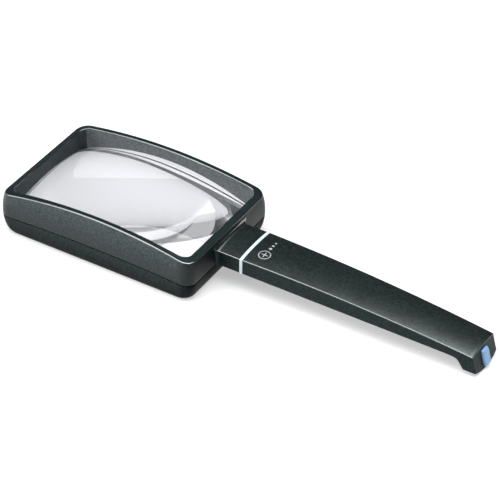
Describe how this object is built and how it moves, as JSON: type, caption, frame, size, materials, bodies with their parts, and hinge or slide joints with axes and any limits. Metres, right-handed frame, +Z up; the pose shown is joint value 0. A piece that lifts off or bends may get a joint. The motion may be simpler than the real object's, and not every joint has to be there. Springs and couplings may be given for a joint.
{
  "type": "magnifying glass",
  "caption": "Hand-held rectangular magnifying glass: arched black hood frame round a thick clear lens, pale ring, flat drooping handle with a foot and a light blue end tab.",
  "frame": {"origin": "bottom centre of the object's box: on the table plane that the frame and the foot rest on, midway along its length, on its plane of symmetry", "axes": "+X along the handle, from the lens towards the foot; +Y to the left when looking along the handle from the lens; +Z up, along the lens axis, out of the open hood"},
  "size_m": [0.1852, 0.0536, 0.0208],
  "materials": {
    "frame_plastic": "black moulded plastic with a fine matte grain",
    "handle_plastic": "black moulded plastic, fine grain, softly shiny",
    "ring_plastic": "pale blue-white satin plastic",
    "tab_plastic": "light blue satin plastic",
    "lens_clear": "polished, clear, hard-coated",
    "screw_steel": "zinc plated"
  },
  "bodies": {
    "root": {"upper_frame": "frame_plastic", "lower_frame": "frame_plastic", "lens": "lens_clear", "accent_ring": "ring_plastic", "handle_shell": "handle_plastic", "handle_cover": "handle_plastic", "handle_screws": "screw_steel", "end_tab": "tab_plastic"}
  },
  "joints": []
}
